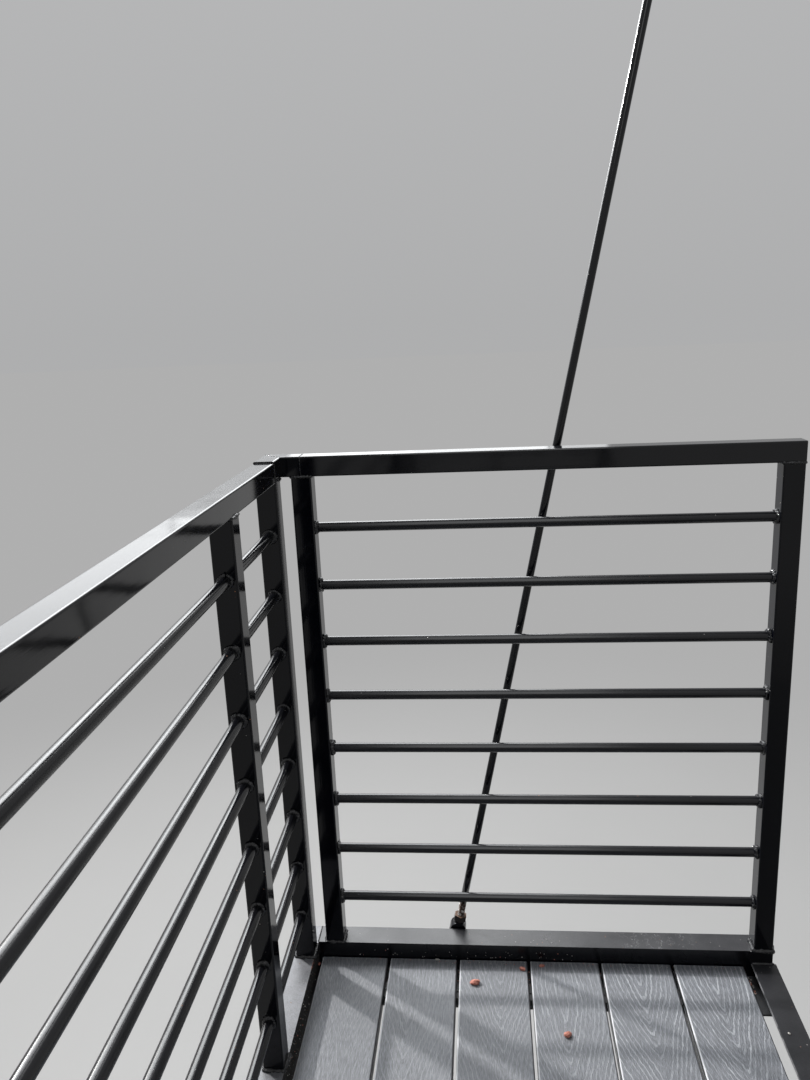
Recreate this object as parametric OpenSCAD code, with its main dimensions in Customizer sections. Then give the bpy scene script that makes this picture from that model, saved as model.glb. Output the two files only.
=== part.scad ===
// Wall-hung landing of a fire escape: a steel channel frame with a board deck,
// welded guard panels of square tube and round bar, and two tie rods up to the wall.
// X runs along the wall, the wall's face is y = 0, the landing stands out towards -Y,
// and z = 0 is the walking surface. The far end is the one at -X.

/* [Deck] */
// Clear length of the deck between the two end channels
deck_length = 2438; // [2000:1:2800]
// Width of one deck board
board_width = 140; // [120:1:150]
// Thickness of a deck board
board_thickness = 25; // [22:1:32]
// Gap between two boards
board_gap = 6; // [3:0.5:10]
// Radius of a board's long top edges
board_edge_radius = 3; // [1:0.5:5]
// Height of the clip groove in a board's long edges
board_groove_height = 5; // [3:0.5:7]
// Depth of the clip groove
board_groove_depth = 8; // [4:0.5:12]
// Gap between the wall angle's toe and the nearest board
wall_side_gap = 15; // [5:1:40]
// Gap between the outermost board and the outer channel
outer_side_gap = 8; // [3:1:20]
// Gap between a board's end and the end channel
board_end_gap = 3; // [1:0.5:8]

/* [Wall angle] */
// Leg of the rolled wall angle that stands out from the wall
wall_angle_width = 49; // [40:1:65]
// Leg of the wall angle that hangs down the wall
wall_angle_drop = 102; // [96:1:125]
// Thickness of the wall angle
wall_angle_thickness = 6.5; // [5:0.5:9]
// Height of the wall angle above the deck
wall_angle_rise = 5; // [0:1:10]

/* [Channel frame] */
// Depth of the rolled channel
channel_depth = 152; // [145:1:180]
// Width of the channel's flanges
channel_flange = 49; // [44:1:60]
// Thickness of the channel's web
channel_web = 5; // [4:0.5:8]
// Thickness of a flange at its toe
channel_toe = 6.5; // [5:0.5:8]
// Thickness of a flange at the web
channel_root = 11; // [9:0.5:12]
// Radius of the fillet between web and flange
channel_fillet = 7; // [4:0.5:8]
// Radius of a flange's inner toe
channel_toe_radius = 3; // [1:0.5:4]
// Height of the guard-carrying channels above the deck
channel_rise = 35; // [15:1:45]
// Side of the square joist tube
joist_size = 50; // [38:1:60]
// Wall of the joist tube
joist_wall = 4; // [3:0.5:6]
// Leg of the rolled angle that lies under the boards' ends
ledge_width = 102; // [76:1:110]
// Leg of that angle that hangs down the end channel's web
ledge_drop = 76; // [50:1:80]
// Thickness of that angle
ledge_thickness = 6.5; // [5:0.5:8]
// Radius of the fillet inside all the rolled angles
angle_fillet = 8; // [5:0.5:10]
// Radius of the rolled angles' inner toes
angle_toe_radius = 4; // [2:0.5:4.5]

/* [Deck clips] */
// Length of a deck clip along the gap between two boards
clip_length = 40; // [25:1:60]
// Distance of an end clip from the free edge of the ledge angle
clip_edge = 6; // [2:1:12]
// Thickness of a clip's wings
clip_thickness = 2; // [1.5:0.5:2.5]
// Clearance of a clip from the boards beside it
clip_clearance = 0.8; // [0.4:0.1:1]
// Height of the screw head on a clip
clip_screw_height = 2; // [1:0.5:3]

/* [Guard panels] */
// Side of the square tube of posts and rails
tube_size = 38; // [32:1:45]
// Wall of that tube
tube_wall = 3; // [2:0.5:4]
// Corner radius of that tube
tube_corner = 3; // [1:0.5:5]
// Height of the end panels' top rail above the deck
guard_height = 1074; // [1000:1:1150]
// How much lower the long side's top rail is than the end rails
side_rail_drop = 3; // [0:1:8]
// Diameter of the round bars
bar_diameter = 19; // [14:1:24]
// Number of bars in a panel
bar_count = 8; // [6:1:8]
// Height of the lowest bar's centre above the deck
lowest_bar = 136; // [110:1:150]
// Distance from the long side's top rail down to the highest bar's centre
highest_bar_drop = 97; // [60:1:110]
// Clearance between the wall and an end panel
panel_wall_gap = 7; // [3:1:20]
// Slit between an end panel's outer post and the long side's posts
corner_slit = 17; // [8:1:30]
// Distance from an end channel to the corner post
corner_post_set = 10; // [5:1:30]
// Clear width of the short bay beside a corner post
short_bay = 244; // [150:1:500]
// Length of the corner return that rests on the end panel's outer post
return_seat = 19; // [12:1:28]

/* [Tie rods] */
// Diameter of the tie rod
rod_diameter = 15; // [12:0.5:18]
// Distance of the lower pin from the outer channel
rod_foot_inset = 291; // [100:1:320]
// Distance of the lower pin below the end channel's top
rod_foot_drop = 27; // [22:1:30]
// Lean of the rod towards the wall, in degrees from upright
rod_lean = 11.55; // [9:0.05:16]
// Distance of the upper pin from the wall
wall_pin_out = 60; // [56:1:90]
// Diameter of the clevis pins
pin_diameter = 16; // [12:0.5:18]
// Clearance of a pin in its holes, on the diameter
pin_clearance = 0.4; // [0.2:0.1:0.8]
// Diameter of a pin's head
pin_head_diameter = 24; // [22:0.5:28]
// Thickness of a pin's head
pin_head_thickness = 5; // [3:0.5:8]
// How far a pin's plain end stands out of the clevis
pin_end_stand = 6; // [2:0.5:8]
// Thickness of a clevis ear
ear_thickness = 6.5; // [5:0.5:8]
// Half width and end radius of the clevis fork and of the lugs
ear_radius = 17; // [15:0.5:20]
// Thickness of the lug plates
lug_thickness = 10; // [8:0.5:12]
// Side clearance between a lug and each clevis ear
lug_clearance = 0.5; // [0.2:0.1:1]
// Distance from the pin to the floor of the fork's slot
fork_length = 21; // [21:1:30]
// Diameter of the clevis barrel
barrel_diameter = 25; // [22:0.5:30]
// Length of the barrel that stands out of the fork's round shoulders
barrel_stand = 2; // [1:0.5:20]
// Across flats of the jam nut
nut_flats = 24; // [20:0.5:28]
// Height of the jam nut
nut_height = 13; // [8:0.5:16]
// Clearance of the rod in its threaded pieces, on the diameter
thread_clearance = 0.2; // [0.1:0.1:0.4]
// Clearance between the end channel's toes and the clevis
clevis_clearance = 3; // [2:0.5:8]
// Length of the lug plate below the pin
lug_length = 95; // [70:1:95]
// Distance from the pin down to the gusset that ties the lug to the channel's web
gusset_drop = 26; // [24:1:40]
// Width of the wall plates
plate_width = 150; // [130:1:200]
// Height of the wall plates
plate_height = 200; // [180:1:260]
// Thickness of the wall plates
plate_thickness = 12; // [8:0.5:20]
// Distance of the plate's holes from its edges
plate_hole_margin = 25; // [20:1:30]

/* [Anchor holes] */
// Diameter of the anchor holes
anchor_hole = 18; // [12:0.5:22]
// Height between the two rows of anchor holes in the wall angle
anchor_row_spacing = 50; // [40:1:50]

/* [Hidden] */
$fn = 32;
// Cuts run this much past the face that they open
past = 1;

// Pieces that have a node each
board_count = 6;
joist_count = 5;

// Section of the rolled channel
channel_slope = atan((channel_root - channel_toe) / (channel_flange - channel_web));
fillet_y = channel_root - channel_fillet * tan(channel_slope) + channel_fillet / cos(channel_slope);
fillet_foot_x = channel_web + channel_fillet - channel_fillet * sin(channel_slope);
fillet_foot_y = fillet_y - channel_fillet * cos(channel_slope);
toe_y = channel_toe + channel_toe_radius * tan(channel_slope) - channel_toe_radius / cos(channel_slope);
toe_foot_x = channel_flange - channel_toe_radius + channel_toe_radius * sin(channel_slope);
toe_foot_y = toe_y + channel_toe_radius * cos(channel_slope);

// Places along the wall
inner_end = deck_length / 2;
frame_end = inner_end + channel_flange;
corner_post_x = inner_end - corner_post_set - tube_size;
middle_post_x = corner_post_x - short_bay - tube_size;
joist_spacing = deck_length / (joist_count + 1);
anchor_inner_x = joist_spacing / 2;
anchor_outer_x = 5 * joist_spacing / 2;

// Places out from the wall
boards_width = board_count * board_width + (board_count - 1) * board_gap;
first_board_out = wall_angle_width + wall_side_gap;
outer_channel_out = first_board_out + boards_width + outer_side_gap;
outer_post_out = outer_channel_out - corner_slit - tube_size;
wall_post_out = panel_wall_gap;
return_start_out = outer_post_out + tube_size - return_seat;
side_middle_out = outer_channel_out + tube_size / 2;

// Deck clips, over the two ledge angles and over each joist
end_clip_x = inner_end - ledge_width + clip_edge + clip_length / 2;
clip_places = [for (k = [0 : joist_count + 1])
    k == 0 ? -end_clip_x : k == joist_count + 1 ? end_clip_x : k * joist_spacing - inner_end];
clip_foot = board_gap / 2 - clip_clearance;
clip_wing = clip_foot + board_groove_depth;
groove_floor = (board_thickness - board_groove_height) / 2 - board_thickness;

// Heights
channel_bottom = channel_rise - channel_depth;
end_rail_bottom = guard_height - tube_size;
side_rail_bottom = end_rail_bottom - side_rail_drop;
bar_pitch = (side_rail_bottom - highest_bar_drop - lowest_bar) / (bar_count - 1);

// Tie rod
fork_width = 2 * (ear_thickness + lug_clearance) + lug_thickness;
rod_x = inner_end + channel_flange + clevis_clearance + max(fork_width, barrel_diameter) / 2;
rod_foot_out = outer_channel_out - rod_foot_inset;
rod_span = (rod_foot_out - wall_pin_out) / sin(rod_lean);
rod_foot_height = channel_rise - rod_foot_drop;
rod_start = fork_length;
barrel_top = fork_length + ear_radius + barrel_stand;
gusset_height = lug_length - gusset_drop;
pin_length = fork_width + pin_end_stand;
wall_pin_height = rod_foot_height + rod_span * cos(rod_lean);
lug_inner_x = rod_x - lug_thickness / 2;
pin_hole = pin_diameter + pin_clearance;
lug_web_x = inner_end + channel_web;
anchor_row_height = wall_angle_rise - wall_angle_drop / 2;

steel = [0.07, 0.075, 0.09];
composite = [0.42, 0.43, 0.45];
bare_steel = [0.62, 0.60, 0.56];

// Runs an outline drawn in Y and Z along X
module along_x(start, length) {
    translate([start, 0, 0]) rotate([90, 0, 90]) linear_extrude(length) children();
}

// Runs an outline drawn in X and Z away from the wall
module outwards(start, length) {
    translate([0, -start, 0]) rotate([90, 0, 0]) linear_extrude(length) children();
}

// Copies a piece of the far end to the near end
module at_near_end() {
    mirror([1, 0, 0]) children();
}

// Square with true round corners, its lower left corner at the origin
module rounded_square(side, radius) {
    translate([radius, 0]) square([side - 2 * radius, side]);
    translate([0, radius]) square([side, side - 2 * radius]);
    for (x = [radius, side - radius], y = [radius, side - radius])
        translate([x, y]) circle(radius);
}

module guard_tube_section() {
    difference() {
        rounded_square(tube_size, tube_corner);
        translate([tube_wall, tube_wall]) square(tube_size - 2 * tube_wall);
    }
}

// Room between the flanges of a rolled channel, with the fillets at the web.
// The flanges' inner faces slope by the angle channel_slope.
module channel_throat() {
    polygon([[channel_web, fillet_y], [fillet_foot_x, fillet_foot_y],
        [channel_flange + past, channel_toe - past * tan(channel_slope)],
        [channel_flange + past, channel_depth - channel_toe + past * tan(channel_slope)],
        [fillet_foot_x, channel_depth - fillet_foot_y], [channel_web, channel_depth - fillet_y]]);
    for (y = [fillet_y, channel_depth - fillet_y])
        translate([channel_web + channel_fillet, y]) circle(channel_fillet);
}

// What the mill's rolls leave off at a flange's inner toe
module toe_round() {
    difference() {
        polygon([[channel_flange, toe_y], [channel_flange + past, toe_y],
            [channel_flange + past, channel_toe + past], [toe_foot_x, toe_foot_y + past],
            [toe_foot_x, toe_foot_y]]);
        translate([channel_flange - channel_toe_radius, toe_y]) circle(channel_toe_radius);
    }
}

// Rolled channel: web at x = 0, toes towards +X, y from 0 to its depth
module channel_section() {
    difference() {
        square([channel_flange, channel_depth]);
        channel_throat();
        toe_round();
        translate([0, channel_depth]) mirror([0, 1]) toe_round();
    }
}

// Rounds off an inner toe of a rolled angle, whose square corner would be at the origin
module angle_toe_round() {
    difference() {
        translate([-angle_toe_radius, -past]) square(angle_toe_radius + past);
        translate([-angle_toe_radius, angle_toe_radius]) circle(angle_toe_radius);
    }
}

// Rolled angle: one leg along +X, the other down -Y, with the mill's fillet and round toes
module angle_section(width, drop, thickness) {
    fillet_middle = thickness + angle_fillet;
    difference() {
        translate([0, -drop]) square([width, drop]);
        polygon([[thickness, -fillet_middle], [fillet_middle, -thickness],
            [width + past, -thickness], [width + past, -drop - past],
            [thickness, -drop - past]]);
        translate([fillet_middle, -fillet_middle]) circle(angle_fillet);
        translate([width, -thickness]) angle_toe_round();
        translate([thickness, -drop]) angle_toe_round();
    }
}

// Frame of rolled steel

module wall_angle() {
    color(steel) difference() {
        along_x(-inner_end, deck_length) translate([0, wall_angle_rise]) mirror([1, 0])
            angle_section(wall_angle_width, wall_angle_drop, wall_angle_thickness);
        for (column = [anchor_inner_x, anchor_outer_x], side = [-1, 1], row = [-1, 1])
            translate([side * column, past, anchor_row_height + row * anchor_row_spacing / 2])
                rotate([90, 0, 0]) cylinder(d = anchor_hole, h = wall_angle_thickness + 2 * past);
    }
}

module outer_channel() {
    color(steel) along_x(-frame_end, 2 * frame_end)
        translate([-outer_channel_out, channel_bottom]) mirror([1, 0]) channel_section();
}

module end_channel() {
    color(steel) outwards(wall_post_out, outer_channel_out - wall_post_out)
        translate([-inner_end, channel_bottom]) mirror([1, 0]) channel_section();
}

module joist(number) {
    color(steel) translate([(number - 1) * joist_spacing - inner_end + joist_spacing, 0, 0])
        outwards(wall_angle_thickness, outer_channel_out - wall_angle_thickness)
            translate([-joist_size / 2, -board_thickness - joist_size]) difference() {
                square(joist_size);
                translate([joist_wall, joist_wall]) square(joist_size - 2 * joist_wall);
            }
}

module deck_ledge() {
    color(steel) outwards(wall_angle_thickness, outer_channel_out - wall_angle_thickness)
        translate([-inner_end, -board_thickness])
            angle_section(ledge_width, ledge_drop, ledge_thickness);
}

// Deck of grooved boards, numbered from the open side towards the wall

module board_section() {
    difference() {
        union() {
            square([board_width, board_thickness - board_edge_radius]);
            translate([board_edge_radius, 0]) square([board_width - 2 * board_edge_radius, board_thickness]);
            for (x = [board_edge_radius, board_width - board_edge_radius])
                translate([x, board_thickness - board_edge_radius]) circle(board_edge_radius);
        }
        for (x = [-past, board_width - board_groove_depth])
            translate([x, (board_thickness - board_groove_height) / 2])
                square([board_groove_depth + past, board_groove_height]);
    }
}

// How far out from the wall a board's nearer edge is
function board_out(number) = first_board_out + (board_count - number) * (board_width + board_gap);

module deck_board(number) {
    color(composite) along_x(-inner_end + board_end_gap, deck_length - 2 * board_end_gap)
        translate([-board_out(number) - board_width, -board_thickness]) board_section();
}

// Clips in the gap between a board and the next one: wings that lie in both boards' grooves,
// a foot that stands on the steel below, and the screw's head
module deck_clips(number) {
    out = board_out(number) - board_gap / 2;
    wing_top = groove_floor + clip_thickness;
    color(steel) for (x = clip_places) {
        along_x(x - clip_length / 2, clip_length) translate([-out, 0])
            polygon([[-clip_foot, -board_thickness], [clip_foot, -board_thickness],
                [clip_foot, groove_floor], [clip_wing, groove_floor], [clip_wing, wing_top],
                [-clip_wing, wing_top], [-clip_wing, groove_floor], [-clip_foot, groove_floor]]);
        translate([x, -out, wing_top - clip_thickness / 2])
            cylinder(r = clip_foot, h = clip_screw_height + clip_thickness / 2);
    }
}

// Guard panels of the ends

module end_post(out) {
    color(steel) translate([-inner_end - tube_size, -out - tube_size, channel_rise])
        linear_extrude(end_rail_bottom - channel_rise) guard_tube_section();
}

// The rail's outer end is open against the corner return, and its wall end is closed
module end_top_rail() {
    color(steel) difference() {
        outwards(wall_post_out, return_start_out - wall_post_out)
            translate([-inner_end - tube_size, end_rail_bottom]) rounded_square(tube_size, tube_corner);
        outwards(wall_post_out + tube_wall, return_start_out)
            translate([-inner_end - tube_size + tube_wall, end_rail_bottom + tube_wall])
                square(tube_size - 2 * tube_wall);
    }
}

module end_bars() {
    start = wall_post_out + tube_size;
    color(steel) for (k = [0 : bar_count - 1])
        translate([-inner_end - tube_size / 2, -start, lowest_bar + k * bar_pitch])
            rotate([90, 0, 0]) cylinder(d = bar_diameter, h = outer_post_out - start);
}

// Guard panel of the long side

module side_post(start) {
    color(steel) translate([start, -outer_channel_out - tube_size, channel_rise])
        linear_extrude(side_rail_bottom - channel_rise) guard_tube_section();
}

// The corner posts reach up to the corner returns
module corner_post() {
    color(steel) translate([-corner_post_x - tube_size, -outer_channel_out - tube_size, channel_rise])
        linear_extrude(end_rail_bottom - channel_rise) guard_tube_section();
}

module side_top_rail() {
    color(steel) along_x(-corner_post_x, 2 * corner_post_x)
        translate([-outer_channel_out - tube_size, side_rail_bottom]) guard_tube_section();
}

module side_bars(start, length) {
    color(steel) for (k = [0 : bar_count - 1])
        translate([start, -side_middle_out, lowest_bar + k * bar_pitch])
            rotate([0, 90, 0]) cylinder(d = bar_diameter, h = length);
}

// Elbow of tube that joins the long side's rail to the end rail over the corner post
module corner_return() {
    hollow = tube_size - 2 * tube_wall;
    leg = inner_end + tube_size - corner_post_x;
    reach = outer_channel_out + tube_size - return_start_out;
    color(steel) difference() {
        union() {
            along_x(-inner_end - tube_size, leg)
                translate([-outer_channel_out - tube_size, end_rail_bottom])
                    rounded_square(tube_size, tube_corner);
            outwards(return_start_out, reach - tube_size / 2)
                translate([-inner_end - tube_size, end_rail_bottom])
                    rounded_square(tube_size, tube_corner);
        }
        along_x(-inner_end - tube_size + tube_wall, leg)
            translate([-outer_channel_out - tube_size + tube_wall, end_rail_bottom + tube_wall])
                square(hollow);
        outwards(return_start_out - past, reach + past - tube_size / 2)
            translate([-inner_end - tube_size + tube_wall, end_rail_bottom + tube_wall])
                square(hollow);
    }
}

// Tie rods with their end fittings

// Puts a piece drawn about the lower pin, rod upwards, in its place at the far end
module on_lower_pin() {
    translate([-rod_x, -rod_foot_out, rod_foot_height]) rotate([-rod_lean, 0, 0]) children();
}

// The same for the upper pin, with the rod running downwards from it
module on_upper_pin() {
    translate([-rod_x, -wall_pin_out, wall_pin_height]) rotate([180 - rod_lean, 0, 0]) children();
}

module tie_rod() {
    color(steel) on_lower_pin()
        translate([0, 0, rod_start]) cylinder(d = rod_diameter, h = rod_span - 2 * rod_start);
}

// Plate with a round end about the pin, drawn in Y and Z and spread about x = 0
module round_ended_plate(thickness, foot) {
    translate([-thickness / 2, 0, 0]) rotate([90, 0, 90]) linear_extrude(thickness) {
        circle(ear_radius);
        translate([-ear_radius, foot]) square([2 * ear_radius, -foot]);
    }
}

module clevis() {
    slot = lug_thickness + 2 * lug_clearance;
    color(steel) difference() {
        union() {
            translate([-fork_width / 2, 0, 0]) rotate([90, 0, 90]) linear_extrude(fork_width) {
                circle(ear_radius);
                translate([-ear_radius, 0]) square([2 * ear_radius, fork_length]);
                translate([0, fork_length]) circle(ear_radius);
            }
            translate([0, 0, fork_length - past]) cylinder(d = barrel_diameter, h = barrel_top - fork_length + past);
        }
        translate([-slot / 2, -ear_radius - past, -ear_radius - past])
            cube([slot, 2 * (ear_radius + past), ear_radius + past + fork_length - pin_clearance]);
        translate([-fork_width / 2 - past, 0, 0]) rotate([0, 90, 0])
            cylinder(d = pin_hole, h = fork_width + 2 * past);
        translate([0, 0, fork_length - past]) cylinder(d = rod_diameter + thread_clearance, h = barrel_top);
    }
}

// Hexagonal nut with both faces chamfered at 30 degrees
module jam_nut() {
    chamfer_r = nut_flats / 2 / cos(30) + past;
    chamfer_z = (chamfer_r - nut_flats / 2) * tan(30);
    color(bare_steel) translate([0, 0, barrel_top]) difference() {
        intersection() {
            cylinder(d = nut_flats / cos(30), h = nut_height, $fn = 6);
            rotate_extrude() polygon([[0, 0], [nut_flats / 2, 0], [chamfer_r, chamfer_z],
                [chamfer_r, nut_height - chamfer_z], [nut_flats / 2, nut_height], [0, nut_height]]);
        }
        translate([0, 0, -past]) cylinder(d = rod_diameter + thread_clearance, h = nut_height + 2 * past);
    }
}

module clevis_pin() {
    color(bare_steel) rotate([0, 90, 0]) {
        translate([0, 0, -fork_width / 2]) cylinder(d = pin_diameter, h = pin_length);
        translate([0, 0, -fork_width / 2 - pin_head_thickness])
            cylinder(d = pin_head_diameter, h = pin_head_thickness);
    }
}

module jam_nuts() {
    on_lower_pin() jam_nut();
    on_upper_pin() jam_nut();
}

module clevis_pins() {
    on_lower_pin() clevis_pin();
    on_upper_pin() clevis_pin();
}

// Lug that the lower clevis grips, on a gusset welded into the end channel
module clevis_lug() {
    color(steel) translate([-rod_x, -rod_foot_out, rod_foot_height]) difference() {
        union() {
            round_ended_plate(lug_thickness, -lug_length);
            translate([lug_thickness / 2, -lug_thickness / 2, -lug_length])
                cube([lug_inner_x - lug_web_x, lug_thickness, gusset_height]);
        }
        translate([-lug_thickness / 2 - past, 0, 0]) rotate([0, 90, 0])
            cylinder(d = pin_hole, h = lug_thickness + 2 * past);
    }
}

// Plate anchored to the wall, with the lug that the upper clevis grips
module wall_plate() {
    hole_x = plate_width / 2 - plate_hole_margin;
    hole_z = plate_height / 2 - plate_hole_margin;
    color(steel) translate([-rod_x, 0, wall_pin_height]) difference() {
        union() {
            translate([-plate_width / 2, -plate_thickness, -plate_height / 2])
                cube([plate_width, plate_thickness, plate_height]);
            translate([0, -wall_pin_out, 0]) rotate([90, 0, 0])
                round_ended_plate(lug_thickness, plate_thickness / 2 - wall_pin_out);
        }
        for (x = [-hole_x, hole_x], z = [-hole_z, hole_z])
            translate([x, past, z]) rotate([90, 0, 0])
                cylinder(d = anchor_hole, h = plate_thickness + 2 * past);
        translate([-lug_thickness / 2 - past, -wall_pin_out, 0]) rotate([0, 90, 0])
            cylinder(d = pin_hole, h = lug_thickness + 2 * past);
    }
}

wall_angle();
outer_channel();
end_channel();  // far_end_channel
at_near_end() end_channel();  // near_end_channel
joist(1);  // joist_1
joist(2);  // joist_2
joist(3);  // joist_3
joist(4);  // joist_4
joist(5);  // joist_5
deck_ledge();  // far_deck_ledge
at_near_end() deck_ledge();  // near_deck_ledge
deck_board(1);  // deck_board_1
deck_board(2);  // deck_board_2
deck_board(3);  // deck_board_3
deck_board(4);  // deck_board_4
deck_board(5);  // deck_board_5
deck_board(6);  // deck_board_6
deck_clips(1);  // deck_clips_1
deck_clips(2);  // deck_clips_2
deck_clips(3);  // deck_clips_3
deck_clips(4);  // deck_clips_4
deck_clips(5);  // deck_clips_5
end_post(wall_post_out);  // far_wall_post
end_post(outer_post_out);  // far_outer_post
end_top_rail();  // far_top_rail
end_bars();  // far_bars
at_near_end() end_post(wall_post_out);  // near_wall_post
at_near_end() end_post(outer_post_out);  // near_outer_post
at_near_end() end_top_rail();  // near_top_rail
at_near_end() end_bars();  // near_bars
corner_post();  // far_corner_post
side_post(-middle_post_x - tube_size);  // far_middle_post
side_post(middle_post_x);  // near_middle_post
at_near_end() corner_post();  // near_corner_post
side_top_rail();
side_bars(-corner_post_x, short_bay);  // far_short_bars
side_bars(-middle_post_x, 2 * middle_post_x);  // long_bars
side_bars(corner_post_x - short_bay, short_bay);  // near_short_bars
corner_return();  // far_corner_return
at_near_end() corner_return();  // near_corner_return
tie_rod();  // far_tie_rod
at_near_end() tie_rod();  // near_tie_rod
on_lower_pin() clevis();  // far_lower_clevis
on_upper_pin() clevis();  // far_upper_clevis
at_near_end() on_lower_pin() clevis();  // near_lower_clevis
at_near_end() on_upper_pin() clevis();  // near_upper_clevis
jam_nuts();  // far_nuts
at_near_end() jam_nuts();  // near_nuts
clevis_pins();  // far_pins
at_near_end() clevis_pins();  // near_pins
clevis_lug();  // far_clevis_lug
at_near_end() clevis_lug();  // near_clevis_lug
wall_plate();  // far_wall_plate
at_near_end() wall_plate();  // near_wall_plate
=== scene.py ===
import math
import random

import bmesh
import bpy
from mathutils import Matrix, Vector


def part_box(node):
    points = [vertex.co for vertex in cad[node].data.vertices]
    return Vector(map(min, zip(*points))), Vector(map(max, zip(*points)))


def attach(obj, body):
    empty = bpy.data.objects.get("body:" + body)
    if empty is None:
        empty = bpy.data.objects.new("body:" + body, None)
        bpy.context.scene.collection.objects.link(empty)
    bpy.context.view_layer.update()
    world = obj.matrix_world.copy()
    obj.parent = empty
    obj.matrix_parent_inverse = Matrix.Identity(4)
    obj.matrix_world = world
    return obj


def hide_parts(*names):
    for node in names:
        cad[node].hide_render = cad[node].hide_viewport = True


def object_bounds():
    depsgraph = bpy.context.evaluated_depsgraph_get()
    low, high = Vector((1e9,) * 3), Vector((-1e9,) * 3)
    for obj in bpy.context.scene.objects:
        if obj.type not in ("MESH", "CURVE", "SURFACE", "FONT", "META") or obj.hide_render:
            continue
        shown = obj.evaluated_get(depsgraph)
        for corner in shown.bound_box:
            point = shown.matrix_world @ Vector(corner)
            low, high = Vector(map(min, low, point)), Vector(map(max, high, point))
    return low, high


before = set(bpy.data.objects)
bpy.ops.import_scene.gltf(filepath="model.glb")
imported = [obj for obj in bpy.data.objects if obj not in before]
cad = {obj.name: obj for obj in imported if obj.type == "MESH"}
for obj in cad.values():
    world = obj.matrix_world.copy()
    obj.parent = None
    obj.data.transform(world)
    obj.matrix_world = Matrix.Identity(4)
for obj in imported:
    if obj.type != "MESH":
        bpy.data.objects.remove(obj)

cad_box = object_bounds()

# The view and the studio. Someone stands on the near half of the landing and looks along it to the far end
# panel, with the wall's side on the right. The landing hangs over a pale floor that fades into pale air of
# the same shade.
photo_height_px = 1080
focal_length_px = 869.9
sensor_size_mm = 36.0
eye_from_far_end = 1.561
eye_from_wall = 0.5654
eye_height = 1.3054
turn_from_wall_line = math.radians(5.58)
look_down = math.radians(14.08)
head_tilt = math.radians(-2.62)
deck_end_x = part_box("far_end_channel")[1][0]


def add_object(name, data):
    placed = bpy.data.objects.new(name, data)
    bpy.context.scene.collection.objects.link(placed)
    return placed


view_camera = bpy.data.cameras.new("standing_view")
view_camera.sensor_width = sensor_size_mm
view_camera.lens = focal_length_px * sensor_size_mm / photo_height_px
view_camera.clip_start = 0.02
view_object = add_object("standing_view", view_camera)
view_object.matrix_world = (
    Matrix.Translation((deck_end_x + eye_from_far_end, -eye_from_wall, eye_height))
    @ Matrix.Rotation(math.radians(90) + turn_from_wall_line, 4, "Z")
    @ Matrix.Rotation(math.radians(90) - look_down, 4, "X")
    @ Matrix.Rotation(head_tilt, 4, "Z")
)
bpy.context.scene.camera = view_object
bpy.context.scene.view_settings.view_transform = "Standard"


def add_mesh_object(name, verts, faces, smooth=True):
    mesh = bpy.data.meshes.new(name)
    mesh.from_pydata([tuple(v) for v in verts], [], faces)
    mesh.validate()
    mesh.update()
    for polygon in mesh.polygons:
        polygon.use_smooth = smooth
    return add_object(name, mesh)


def add_shader_node(tree, kind, values=None, **settings):
    shader_node = tree.nodes.new(kind)
    for key, value in settings.items():
        setattr(shader_node, key, value)
    for socket, value in (values or {}).items():
        if isinstance(value, bpy.types.NodeSocket):
            tree.links.new(value, shader_node.inputs[socket])
        else:
            shader_node.inputs[socket].default_value = value
    return shader_node


def calc(tree, operation, first, second=0.0, clamp=False):
    step = add_shader_node(tree, "ShaderNodeMath", {0: first, 1: second}, operation=operation,
                           use_clamp=clamp)
    return step.outputs[0]


def remap(tree, value, low, high, new_low=0.0, new_high=1.0):
    ramp = add_shader_node(tree, "ShaderNodeMapRange", {
        "Value": value, "From Min": low, "From Max": high, "To Min": new_low, "To Max": new_high})
    return ramp.outputs["Result"]


def noise(tree, place, scale, detail=2.0, rough=0.5):
    cloud = add_shader_node(tree, "ShaderNodeTexNoise", {
        "Vector": place, "Scale": scale, "Detail": detail, "Roughness": rough})
    return cloud.outputs[0]


def new_material(name, group, group_values, **shader_constants):
    material = bpy.data.materials.new(name)
    material.use_nodes = True
    tree = material.node_tree
    tree.nodes.clear()
    finish = add_shader_node(tree, "ShaderNodeGroup", node_tree=group, name="finish")
    for socket, value in group_values.items():
        finish.inputs[socket].default_value = value
    shader = add_shader_node(tree, "ShaderNodeBsdfPrincipled", name="shader")
    for socket, value in shader_constants.items():
        shader.inputs[socket.replace("_", " ")].default_value = value
    for output, socket in (("Color", "Base Color"), ("Roughness", "Roughness"), ("Metallic", "Metallic"),
                           ("Normal", "Normal")):
        if output in finish.outputs:
            tree.links.new(finish.outputs[output], shader.inputs[socket])
    add_shader_node(tree, "ShaderNodeOutputMaterial", {"Surface": shader.outputs[0]}, name="end")
    return material


surface_outputs = (
    ("Color", "NodeSocketColor"), ("Roughness", "NodeSocketFloat"), ("Normal", "NodeSocketVector"))


def new_group(name, inputs, outputs=surface_outputs):
    group = bpy.data.node_groups.new(name, "ShaderNodeTree")
    for label, kind, value in inputs:
        socket = group.interface.new_socket(name=label, in_out="INPUT", socket_type=kind)
        socket.default_value = value
    for label, kind in outputs:
        group.interface.new_socket(name=label, in_out="OUTPUT", socket_type=kind)
    return group, group.nodes.new("NodeGroupInput").outputs, group.nodes.new("NodeGroupOutput").inputs


def seen_rays(tree):
    rays = add_shader_node(tree, "ShaderNodeLightPath").outputs
    return calc(tree, "MAXIMUM", rays["Is Camera Ray"],
                calc(tree, "MAXIMUM", rays["Is Glossy Ray"], rays["Is Transmission Ray"]))


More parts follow.
